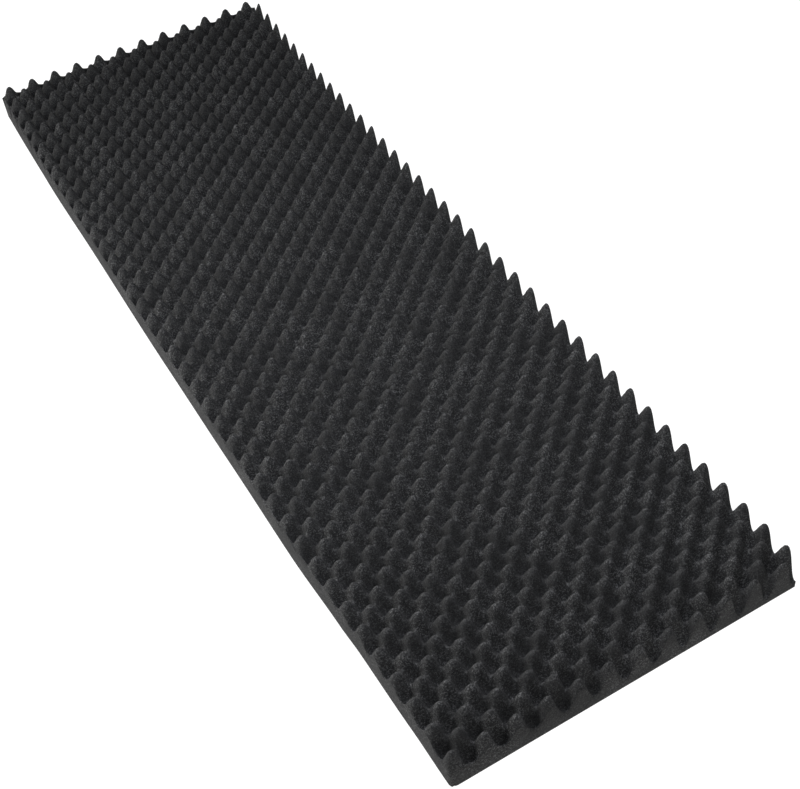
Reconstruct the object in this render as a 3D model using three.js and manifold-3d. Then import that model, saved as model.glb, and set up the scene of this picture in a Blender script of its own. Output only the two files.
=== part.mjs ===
// Egg crate foam mattress: one slab of convoluted foam, sawn off square on its four sides and lying flat.
// The top is a chequerboard of rounded peaks and pits, one cut by a blade that passes through squeezed foam,
// so every pit is a peak turned over. The slab is bent slightly in plan, and the saw did not quite follow the rows.
//
// Millimetres, +Z up. X runs across the mattress and Y along it. The origin is the middle of the underside.
import * as THREE from "three";
import { mergeVertices } from "three/addons/utils/BufferGeometryUtils.js";
import Module from "manifold-3d";

// Driving dimensions.
const WIDTH = 610;
const LENGTH = 1905;
const HEIGHT = 76; // from the underside to the tips of the peaks
const FLOOR = 20; // foam left under the bottom of a pit
const PITCHES_ACROSS = 11.5; // from the first line of peaks to the last, in peak spacings
const PITCHES_ALONG = 39;

// Foam left outside the outermost lines of peaks, measured at both ends of each saw cut.
const LEFT_MARGIN = { near: 10.5, far: 24 };
const RIGHT_MARGIN = { near: 7, far: 3 };
const NEAR_MARGIN = { left: 12, right: 5.5 };
const FAR_MARGIN = 12;

// The slab bends sideways by this much at half its length, and its rows are spaced a little unevenly.
const SIDE_BOW = -11;
const ROW_DRIFT = [2.4, -4, -4.3, 1.1]; // half waves along the length: one, two, three and four

// How far the left side swells out past its straight line, at distances from the near end.
const LEFT_WANDER = [
  { along: 0, out: 2 },
  { along: 110, out: 0 },
  { along: 260, out: -1.5 },
  { along: 320, out: 0 },
  { along: 470, out: 3 },
  { along: 700, out: 1.5 },
  { along: 950, out: 0 },
  { along: 1350, out: -2 },
  { along: 1620, out: 0 },
  { along: 1905, out: 3 },
];
const NEAR_LEFT_CORNER_RADIUS = 9;
const CORNER_STEPS = 3;

const FOAM_COLOUR = 0x2c2d30;
const FOAM_ROUGHNESS = 0.95;

// Worked out from these.
const mean = (a, b) => (a + b) / 2;
const PITCH_X =
  (WIDTH - mean(LEFT_MARGIN.near, LEFT_MARGIN.far) - mean(RIGHT_MARGIN.near, RIGHT_MARGIN.far)) /
  PITCHES_ACROSS;
const PITCH_Y = (LENGTH - mean(NEAR_MARGIN.left, NEAR_MARGIN.right) - FAR_MARGIN) / PITCHES_ALONG;
const LAST_COLUMN = PITCHES_ACROSS * PITCH_X;
const LAST_ROW = PITCHES_ALONG * PITCH_Y;
const BLANK_MARGIN = 1; // the uncut blank reaches this many peak spacings past the outermost lines
const SAW_CLEARANCE = 30; // how far the saw blades reach above and below the blank

const wasm = await Module();
wasm.setup();

// A blade's place between two ends of its cut.
function between(start, end, share) {
  return start + (end - start) * share;
}

// Smooth value of a table of stations at a distance along the mattress.
function wander(table, along) {
  const last = table.length - 1;
  const clamped = Math.min(Math.max(along, table[0].along), table[last].along);
  const next = Math.max(1, table.findIndex((station) => station.along >= clamped));
  const from = table[next - 1];
  const to = table[next];
  const share = (clamped - from.along) / (to.along - from.along);
  return THREE.MathUtils.lerp(from.out, to.out, THREE.MathUtils.smoothstep(share, 0, 1));
}

// Height of the convoluted top where a half-pitch grid of peaks and pits has the value 1, 0 or -1.
function topHeight(wave) {
  return (HEIGHT + FLOOR) / 2 + (wave * (HEIGHT - FLOOR)) / 2;
}

// The uncut blank: a pyramid-like facet pattern over peaks, pits and the saddles between them,
// four plain walls and a flat underside.
function convolutedBlank() {
  const columns = Math.ceil(PITCHES_ACROSS * 2) + 2 * BLANK_MARGIN * 2;
  const rows = PITCHES_ALONG * 2 + 2 * BLANK_MARGIN * 2;
  const x = (i) => (i / 2 - BLANK_MARGIN) * PITCH_X;
  const y = (j) => (j / 2 - BLANK_MARGIN) * PITCH_Y;
  const point = (i, j) => {
    const wave = (i + j) % 2 === 0 ? 1 : -1;
    return [x(i), y(j), topHeight(wave)];
  };
  const triangles = [];
  for (let i = 0; i < columns; i += 1) {
    for (let j = 0; j < rows; j += 1) {
      const saddle = [x(i + 0.5), y(j + 0.5), topHeight(0)];
      const ring = [point(i, j), point(i + 1, j), point(i + 1, j + 1), point(i, j + 1)];
      ring.forEach((corner, k) => triangles.push([corner, ring[(k + 1) % 4], saddle]));
    }
  }
  const walls = [
    { steps: columns, at: (k) => point(k, 0) },
    { steps: rows, at: (k) => point(columns, k) },
    { steps: columns, at: (k) => point(columns - k, rows) },
    { steps: rows, at: (k) => point(0, rows - k) },
  ];
  for (const wall of walls) {
    const profile = Array.from({ length: wall.steps + 1 }, (_, k) => wall.at(k));
    triangles.push(...wallTriangles(profile));
  }
  const corners = walls.map((wall) => onFloor(wall.at(0)));
  triangles.push([corners[0], corners[3], corners[2]], [corners[0], corners[2], corners[1]]);
  return solidFromTriangles(triangles);
}

function onFloor([x, y]) {
  return [x, y, 0];
}

// A flat wall from the underside up to one edge of the top, facing right of the way the edge runs.
function wallTriangles(profile) {
  const first = profile[0];
  const reach = ([x, y]) => Math.hypot(x - first[0], y - first[1]);
  const outline = [onFloor(first), onFloor(profile.at(-1)), ...profile.toReversed()];
  const flat = outline.map((p) => new THREE.Vector2(reach(p), p[2]));
  return THREE.ShapeUtils.triangulateShape(flat, []).map((face) => face.map((k) => outline[k]));
}

function solidFromTriangles(triangles) {
  const geometry = new THREE.BufferGeometry();
  geometry.setAttribute("position", new THREE.Float32BufferAttribute(triangles.flat(2), 3));
  return solidFromGeometry(geometry);
}

function solidFromGeometry(geometry) {
  geometry.deleteAttribute("normal");
  geometry.deleteAttribute("uv");
  const merged = mergeVertices(geometry, 1e-3);
  return new wasm.Manifold(
    new wasm.Mesh({
      numProp: 3,
      vertProperties: merged.getAttribute("position").array,
      triVerts: new Uint32Array(merged.index.array),
    }),
  );
}

// Plan of the sawn slab, anticlockwise from the near right corner, with a station at each row on the long
// sides so that they can bend.
function sawnPlan() {
  const plan = [];
  for (let row = 0; row <= PITCHES_ALONG; row += 1) {
    const share = row / PITCHES_ALONG;
    const y = between(-NEAR_MARGIN.right, LAST_ROW + FAR_MARGIN, share);
    plan.push(new THREE.Vector2(LAST_COLUMN + between(RIGHT_MARGIN.near, RIGHT_MARGIN.far, share), y));
  }
  for (let row = PITCHES_ALONG; row > 0; row -= 1) {
    const share = row / PITCHES_ALONG;
    const y = between(-NEAR_MARGIN.left, LAST_ROW + FAR_MARGIN, share);
    plan.push(new THREE.Vector2(leftSide(share), y));
  }
  plan.push(...roundedCorner(new THREE.Vector2(leftSide(0), -NEAR_MARGIN.left), NEAR_LEFT_CORNER_RADIUS));
  return new THREE.Shape(plan);
}

function leftSide(share) {
  return -between(LEFT_MARGIN.near, LEFT_MARGIN.far, share) - wander(LEFT_WANDER, share * LENGTH);
}

// The near left corner as a short arc, from the left side round to the near end.
function roundedCorner(corner, radius) {
  const centre = new THREE.Vector2(corner.x + radius, corner.y + radius);
  return Array.from({ length: CORNER_STEPS + 1 }, (_, k) => {
    const angle = Math.PI + (k / CORNER_STEPS) * (Math.PI / 2);
    return new THREE.Vector2(centre.x + radius * Math.cos(angle), centre.y + radius * Math.sin(angle));
  });
}

// What the saw leaves: the blank inside the plan.
function sawnSlab() {
  const kept = new THREE.ExtrudeGeometry(sawnPlan(), {
    depth: HEIGHT + 2 * SAW_CLEARANCE,
    bevelEnabled: false,
  });
  kept.translate(0, 0, -SAW_CLEARANCE);
  return convolutedBlank().intersect(solidFromGeometry(kept));
}

// The bend in plan and the uneven rows, as a smooth shift of every point.
function settle(position) {
  for (let k = 0; k < position.count; k += 1) {
    const share = THREE.MathUtils.clamp(position.getY(k) / LAST_ROW, 0, 1);
    const drift = ROW_DRIFT.reduce((sum, size, wave) => sum + size * Math.sin((wave + 1) * Math.PI * share), 0);
    position.setX(k, position.getX(k) + SIDE_BOW * Math.sin(Math.PI * share));
    position.setY(k, position.getY(k) + drift);
  }
}

function slabGeometry() {
  const mesh = sawnSlab().getMesh();
  const geometry = new THREE.BufferGeometry();
  geometry.setAttribute("position", new THREE.BufferAttribute(mesh.vertProperties.slice(), 3));
  geometry.setIndex(new THREE.BufferAttribute(mesh.triVerts.slice(), 1));
  settle(geometry.getAttribute("position"));
  geometry.computeBoundingBox();
  const middle = geometry.boundingBox.getCenter(new THREE.Vector3());
  geometry.translate(-middle.x, -middle.y, 0);
  geometry.computeVertexNormals();
  return geometry;
}

const foam = new THREE.MeshStandardMaterial({
  color: FOAM_COLOUR,
  roughness: FOAM_ROUGHNESS,
  metalness: 0,
  flatShading: true,
});

const mattress = new THREE.Mesh(slabGeometry(), foam);
mattress.name = "foam_slab";

const group = new THREE.Group();
group.name = "egg_crate_foam_mattress";
group.add(mattress);

export default group;
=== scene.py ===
"""Egg crate foam mattress lying on a pale studio floor.

Metres, in the frame of the CAD model: X across the mattress, Y along it, +Z up, and the origin in the middle
of the underside.
"""

import math

import bpy
import numpy as np
from mathutils import Euler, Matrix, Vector


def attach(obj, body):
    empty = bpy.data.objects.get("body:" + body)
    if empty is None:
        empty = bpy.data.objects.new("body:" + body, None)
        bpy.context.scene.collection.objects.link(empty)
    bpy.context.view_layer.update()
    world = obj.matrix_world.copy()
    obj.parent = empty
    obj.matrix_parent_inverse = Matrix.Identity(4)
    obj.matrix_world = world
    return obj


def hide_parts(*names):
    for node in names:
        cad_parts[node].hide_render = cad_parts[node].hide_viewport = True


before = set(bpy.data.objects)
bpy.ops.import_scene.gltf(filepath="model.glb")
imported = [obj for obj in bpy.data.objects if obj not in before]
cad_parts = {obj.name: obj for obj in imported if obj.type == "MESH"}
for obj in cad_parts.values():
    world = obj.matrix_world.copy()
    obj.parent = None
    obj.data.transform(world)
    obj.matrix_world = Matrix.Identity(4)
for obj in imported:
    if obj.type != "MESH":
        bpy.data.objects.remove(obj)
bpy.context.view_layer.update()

MM = 0.001

# The slab, as cut: peak spacing, heights, and the foam left outside the outermost lines of peaks.
PITCH_X = 51.18 * MM
PITCH_Y = 48.314 * MM
PITCHES_ACROSS = 11.5
PITCHES_ALONG = 39
HEIGHT = 76 * MM  # from the underside to the tips of the peaks
PIT_HEIGHT = 29 * MM  # foam left under the bottom of a pit
CUT_PIT_HEIGHT = 12 * MM  # the same at the near end, where the pits are deeper
CUT_REACH = 30 * MM  # how far in from the first row of peaks the deeper pits go
LEFT_MARGIN = (9.5 * MM, 16 * MM)  # near and far end
RIGHT_MARGIN = (4.0 * MM, -1.5 * MM)
NEAR_MARGIN = (11 * MM, 2.2 * MM)  # left and right end
FAR_MARGIN = 11 * MM
END_MARGINS = 20 * MM  # near and far together, roughly
LAST_COLUMN = PITCHES_ACROSS * PITCH_X
LAST_ROW = PITCHES_ALONG * PITCH_Y

# Slow bends of the whole slab in plan. Each row is a number of half waves along the length and the size of
# that wave on the left side, in the middle and on the right side; no half waves means the same all along.
SIDE_BENDS = (
    (0, (0, 0.8 * MM, 3.2 * MM)),
    (0.5, (0, -0.8 * MM, -3.2 * MM)),
    (1, (-13.5 * MM, -9.7 * MM, -11.0 * MM)),
    (2, (1.5 * MM, 2.2 * MM, 2.9 * MM)),
    (3, (-1.7 * MM, -1.3 * MM, -0.9 * MM)),
    (5, (-0.6 * MM, -0.6 * MM, -0.6 * MM)),
)
ROW_BENDS = (
    (0, (-4.5 * MM, -0.6 * MM, 3.2 * MM)),
    (0.5, (0, 0.5 * MM, 1.8 * MM)),
    (1, (22.3 * MM, 17.9 * MM, 15.5 * MM)),
    (2, (-6.3 * MM, -6.3 * MM, -4.3 * MM)),
    (3, (-3.5 * MM, -3.0 * MM, -3.8 * MM)),
    (4, (2.5 * MM, 2.3 * MM, 2.1 * MM)),
    (5, (-1.6 * MM, -1.6 * MM, -1.6 * MM)),
    (6, (2 * MM, 2 * MM, 2 * MM)),
    (7, (-0.7 * MM, -0.7 * MM, -0.7 * MM)),
)

# How far the left side swells out past its straight line: distance from the near end, swelling.
LEFT_WANDER = np.array([
    (0, 2.0), (110, 0), (260, -1.5), (320, 0), (470, 3.0),
    (700, 1.5), (950, 0), (1350, -2.0), (1620, 0), (1905, 3.0),
]) * MM

RIDGE = 0.15  # how much the ridges that join diagonal neighbours stand out
CORNER_RADIUS = 9 * MM
LIP_RADIUS = 1.2 * MM
LIP_BAND = 4 * LIP_RADIUS  # depth of the short faces under the lip, which keep its shading to itself

# Mesh steps, for a top of about 14 steps to a peak spacing.
STEPS_ACROSS = 166
STEPS_ALONG = 548

# The foam's look: how large a cell, a grain and a paler patch are, and how much light each throws back.
CELL_SIZE = 1.6 * MM
GRAIN_SIZE = 2.2 * MM
PATCH_SIZE = 60 * MM
# Glints are painted highlights: cells past this share get a paler colour, standing in for light caught by
# the cell walls.
GLINT_START = 0.6  # the share of cells that don't catch the light
PAINTED_GLINT_SHADE = 0.075
GLINT_SHARES = (0.3, 1.0)  # how much of a glint is left in the darker and in the paler patches
GRAIN_SHADES = (0.011, 0.035)
BUMP_HEIGHT = 0.6 * MM
BUMP_STRENGTH = 0.5
FOAM_ROUGHNESS = 0.95
FOAM_SPECULAR = 0.15

# The range of a noise's values that is used, for small grain and for wide patches.
GRAIN_VALUES = (0.3, 0.7)
PATCH_VALUES = (0.35, 0.65)

# The studio.
WHITE = (1, 1, 1)
COOL = (0.95, 0.98, 1.06)
STUDIO_FLOOR_SIZE = 12
STUDIO_FLOOR_SHADE = (0.1, 0.1, 0.1, 1)
STUDIO_FLOOR_GLOW = 1.02
SKY_STRENGTH = 0.05
SOFTBOX_SIZE = 1.0
FAR_LIGHT_SPREAD = math.radians(30)
FAR_LIGHT_DISTANCE = 4

# The camera's place and turn, and how far its picture is shifted, in shares of the picture's width.
CAMERA_PLACE = Vector((-687.45, -1832.27, 1763.68)) * MM
CAMERA_TURN = (42.1459, 3.5924, -29.9770)  # degrees
CAMERA_LENS = 64.032
CAMERA_SENSOR = 36
CAMERA_SHIFT = (-0.0530, 0.0565)


def make_camera():
    """Looks down on the near left part of the slab, from the left of its near end."""
    data = bpy.data.cameras.new("camera")
    data.sensor_width = CAMERA_SENSOR
    data.lens = CAMERA_LENS
    data.shift_x, data.shift_y = CAMERA_SHIFT
    camera = bpy.data.objects.new("camera", data)
    camera.location = CAMERA_PLACE
    camera.rotation_euler = Euler([math.radians(angle) for angle in CAMERA_TURN])
    bpy.context.scene.collection.objects.link(camera)
    bpy.context.scene.camera = camera


def between(ends, share):
    return ends[0] + (ends[1] - ends[0]) * share


def smooth_steps(stations, along):
    """Value of a table of stations at each distance, eased in and out of every station."""
    place = np.clip(along, stations[0, 0], stations[-1, 0])
    after = np.clip(np.searchsorted(stations[:, 0], place), 1, len(stations) - 1)
    start, end = stations[after - 1], stations[after]
    share = (place - start[..., 0]) / (end[..., 0] - start[..., 0])
    return between((start[..., 1], end[..., 1]), share * share * (3 - 2 * share))


def slab_plan(across, along):
    """Place in the uncut, unbent foam of each point of the slab, given as shares of its width and length."""
    left = -between(LEFT_MARGIN, along) - smooth_steps(LEFT_WANDER, along * (LAST_ROW + END_MARGINS))
    right = LAST_COLUMN + between(RIGHT_MARGIN, along)
    near = -between(NEAR_MARGIN, across)
    x = between((left, right), across)
    y = between((near, LAST_ROW + FAR_MARGIN), along)
    return round_corner(x, y)


def round_corner(x, y):
    """Draws the near left corner in to a quarter circle."""
    centre_x = -LEFT_MARGIN[0] + CORNER_RADIUS
    centre_y = -NEAR_MARGIN[0] + CORNER_RADIUS
    dx = (x - centre_x) / CORNER_RADIUS
    dy = (y - centre_y) / CORNER_RADIUS
    inside = (dx < 0) & (dy < 0)
    square = np.maximum(-dx, -dy)
    circle = np.hypot(dx, dy)
    shrink = np.where(inside & (circle > 0), square / np.maximum(circle, 1e-9), 1)
    return (
        np.where(inside, centre_x + dx * shrink * CORNER_RADIUS, x),
        np.where(inside, centre_y + dy * shrink * CORNER_RADIUS, y),
    )


def top_height(x, y):
    """Peaks and pits in a chequerboard, with ridges between peaks. Each pit is a peak turned over."""
    turn_x = 2 * np.pi * x / PITCH_X
    turn_y = 2 * np.pi * y / PITCH_Y
    wave = np.cos(turn_x) * np.cos(turn_y)
    half_wave = (np.cos(2 * turn_x) + np.cos(2 * turn_y)) / 2
    shaped = (1 + RIDGE) * wave - RIDGE * wave * half_wave
    nearness = np.exp(-(np.maximum(y, 0) / CUT_REACH) ** 2)
    lowest = between((PIT_HEIGHT, CUT_PIT_HEIGHT), nearness)
    return (HEIGHT + lowest) / 2 + shaped * (HEIGHT - lowest) / 2


def bend(table, x, y):
    """Shift of each point by one table of bends."""
    side = 2 * x / LAST_COLUMN - 1
    along = np.clip(y / LAST_ROW, 0, 1)
    shift = np.zeros_like(x)
    for half_waves, (left, middle, right) in table:
        size = middle + (right - left) / 2 * side + ((right + left) / 2 - middle) * side**2
        shift += size * (np.sin(half_waves * np.pi * along) if half_waves else 1)
    return shift


def settle(x, y):
    """Bends the sawn slab and sets it with the middle of its box over the origin."""
    x, y = x + bend(SIDE_BENDS, x, y), y + bend(ROW_BENDS, x, y)
    return x - (x.max() + x.min()) / 2, y - (y.max() + y.min()) / 2


def slab_top():
    """Grid of points over the top, out to the saw cuts."""
    shares_across = np.linspace(0, 1, STEPS_ACROSS + 1)
    shares_along = np.linspace(0, 1, STEPS_ALONG + 1)
    across, along = np.meshgrid(shares_across, shares_along, indexing="ij")
    x, y = slab_plan(across, along)
    z = top_height(x, y)
    x, y = settle(x, y)
    return np.stack([x, y, z], axis=-1)


def border(grid):
    """The points on the edge of a grid, anticlockwise from the near left corner."""
    return np.concatenate([grid[:-1, 0], grid[-1, :-1], grid[:0:-1, -1], grid[0, :0:-1]])


def inward_normals(edge):
    """Unit vector in plan at right angles to the closed edge, pointing into the slab."""
    run = np.roll(edge, -1, axis=0)[:, :2] - np.roll(edge, 1, axis=0)[:, :2]
    run /= np.linalg.norm(run, axis=1, keepdims=True)
    return np.stack([-run[:, 1], run[:, 0]], axis=-1)


def side_profile(lip_height):
    """Inset and height of the rings down the sawn side, from just under its lip to the underside."""
    return [
        (0, lip_height - LIP_RADIUS),
        (0, lip_height - LIP_BAND),
        (0, np.full_like(lip_height, LIP_RADIUS)),
        (LIP_RADIUS, np.zeros_like(lip_height)),
    ]


def top_faces(number):
    corners = [number[:-1, :-1], number[1:, :-1], number[1:, 1:], number[:-1, 1:]]
    return np.stack(corners, axis=-1).reshape(-1, 4)


def wall_faces(upper, lower):
    """Faces of the side between one ring of points and the next one down."""
    return np.stack([lower, np.roll(lower, -1), np.roll(upper, -1), upper], axis=-1)


def slab_mesh():
    """The whole slab as one closed surface: top, sawn sides and a flat underside."""
    top = slab_top()
    count = top.shape[0] * top.shape[1]
    number = np.arange(count).reshape(top.shape[:2])
    edge = border(top)
    edge_number = border(number)
    inward = inward_normals(edge)
    rings = [
        np.column_stack([edge[:, :2] + inward * inset, height])
        for inset, height in side_profile(edge[:, 2])
    ]
    lip = np.unravel_index(edge_number, number.shape)
    top[lip] += np.pad(inward * LIP_RADIUS, ((0, 0), (0, 1)))

    ring_numbers = [count + k * len(edge) + np.arange(len(edge)) for k in range(len(rings))]
    loops = [edge_number, *ring_numbers]
    walls = [wall_faces(upper, lower) for upper, lower in zip(loops, loops[1:])]
    underside = loops[-1][::-1].tolist()
    vertices = np.concatenate([top.reshape(-1, 3), *rings])
    polygons = np.concatenate([top_faces(number), *walls]).tolist() + [underside]

    mesh = bpy.data.meshes.new("foam_slab_surface")
    mesh.from_pydata(vertices.tolist(), [], polygons)
    mesh.validate()
    smooth = np.ones(len(mesh.polygons), dtype=bool)
    smooth[-1] = False
    mesh.polygons.foreach_set("use_smooth", smooth)
    return mesh


def add_node(material, kind, **settings):
    """A new node, given its sockets by name and what feeds each of them."""
    node = material.node_tree.nodes.new(kind)
    for name, value in settings.items():
        socket = node.inputs[name]
        if isinstance(value, bpy.types.NodeSocket):
            material.node_tree.links.new(value, socket)
        else:
            socket.default_value = value
    return node


def map_range(material, source, values, results):
    """Maps a range of a socket's value onto another range, and holds it there beyond its ends."""
    node = add_node(material, "ShaderNodeMapRange", Value=source)
    node.inputs["From Min"].default_value, node.inputs["From Max"].default_value = values
    node.inputs["To Min"].default_value, node.inputs["To Max"].default_value = results
    return node.outputs["Result"]


def combine(material, operation, first, second):
    """Sum or product of two sockets."""
    node = material.node_tree.nodes.new("ShaderNodeMath")
    node.operation = operation
    material.node_tree.links.new(first, node.inputs[0])
    material.node_tree.links.new(second, node.inputs[1])
    return node.outputs["Value"]


def foam_material():
    """Charcoal foam with open cells, of which some carry a painted highlight (a glint) in their colour, in
    paler and darker patches.
    """
    material = bpy.data.materials.new("charcoal_foam")
    material.use_nodes = True
    link = material.node_tree.links.new
    shader = material.node_tree.nodes["Principled BSDF"]
    shader.inputs["Roughness"].default_value = FOAM_ROUGHNESS
    shader.inputs["Specular IOR Level"].default_value = FOAM_SPECULAR
    place = material.node_tree.nodes.new("ShaderNodeTexCoord").outputs["Object"]

    cells = add_node(material, "ShaderNodeTexVoronoi", Vector=place, Scale=1 / CELL_SIZE)
    cell_values = add_node(material, "ShaderNodeSeparateColor", Color=cells.outputs["Color"])
    cell_value = cell_values.outputs["Red"]
    grain = add_node(material, "ShaderNodeTexNoise", Vector=place, Scale=1 / GRAIN_SIZE, Detail=2.0)
    patches = add_node(material, "ShaderNodeTexNoise", Vector=place, Scale=1 / PATCH_SIZE, Detail=1.0)

    # Painted highlight: the brightest cells are made paler in the foam's colour, as glints of light.
    painted_glint = map_range(material, cell_value, (GLINT_START, 1), (0, PAINTED_GLINT_SHADE))
    glint_share = map_range(material, patches.outputs["Fac"], PATCH_VALUES, GLINT_SHARES)
    shade = map_range(material, grain.outputs["Fac"], GRAIN_VALUES, GRAIN_SHADES)
    total = combine(material, "ADD", shade, combine(material, "MULTIPLY", painted_glint, glint_share))
    grey = add_node(material, "ShaderNodeCombineColor", Red=total, Green=total, Blue=total)
    link(grey.outputs["Color"], shader.inputs["Base Color"])

    bump = add_node(
        material,
        "ShaderNodeBump",
        Height=grain.outputs["Fac"],
        Strength=BUMP_STRENGTH,
        Distance=BUMP_HEIGHT,
    )
    link(bump.outputs["Normal"], shader.inputs["Normal"])
    return material


def make_slab():
    slab = bpy.data.objects.new("foam_slab_skin", slab_mesh())
    bpy.context.scene.collection.objects.link(slab)
    slab.data.materials.append(foam_material())
    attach(slab, "root")
    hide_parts("foam_slab")


def make_floor():
    """A pale floor that glows, so that it stays white under the slab's soft shadow."""
    bpy.ops.mesh.primitive_plane_add(size=STUDIO_FLOOR_SIZE)
    floor = bpy.context.object
    floor.name = "studio_floor"
    material = bpy.data.materials.new("pale_floor")
    material.use_nodes = True
    shader = material.node_tree.nodes["Principled BSDF"]
    shader.inputs["Base Color"].default_value = STUDIO_FLOOR_SHADE
    shader.inputs["Roughness"].default_value = 1
    shader.inputs["Emission Color"].default_value = (1, 1, 1, 1)
    shader.inputs["Emission Strength"].default_value = STUDIO_FLOOR_GLOW
    floor.data.materials.append(material)


def aim(light, location):
    """Points a light at the middle of the slab."""
    light.location = location
    light.rotation_euler = Vector(location).to_track_quat("Z", "Y").to_euler()
    bpy.context.scene.collection.objects.link(light)


def make_softbox(name, location, watts, colour=WHITE):
    data = bpy.data.lights.new(name, "AREA")
    data.shape = "SQUARE"
    data.size = SOFTBOX_SIZE
    data.energy = watts
    data.color = colour
    aim(bpy.data.objects.new(name, data), location)


def make_far_light(name, azimuth, elevation, strength):
    """A large light so far off that it falls evenly: azimuth anticlockwise from +X, in degrees."""
    data = bpy.data.lights.new(name, "SUN")
    data.angle = FAR_LIGHT_SPREAD
    data.energy = strength
    turn = Euler((0, -math.radians(elevation), math.radians(azimuth)))
    direction = turn.to_matrix() @ Vector((1, 0, 0))
    aim(bpy.data.objects.new(name, data), direction * FAR_LIGHT_DISTANCE)


def make_sky():
    """Grey surroundings beyond the floor, too faint to light the slab by much."""
    world = bpy.data.worlds.new("faint_sky")
    world.use_nodes = True
    background = world.node_tree.nodes["Background"]
    background.inputs["Color"].default_value = (1, 1, 1, 1)
    background.inputs["Strength"].default_value = SKY_STRENGTH
    bpy.context.scene.world = world


def make_studio():
    """Light from the far end and from overhead, and fills from the near end and the left."""
    make_floor()
    make_far_light("far_end_light", azimuth=90, elevation=30, strength=2.5)
    make_softbox("overhead_softbox", location=(0, -0.7, 1.5), watts=20, colour=COOL)
    make_softbox("near_softbox", location=(0, -2, 1.6), watts=7)
    make_softbox("left_softbox", location=(-1.5, 0.1, 0.9), watts=14)
    make_softbox("left_low_softbox", location=(-1.6, 0.1, 0.35), watts=14)
    make_sky()
    bpy.context.scene.view_settings.view_transform = "Standard"


make_camera()
make_slab()
make_studio()
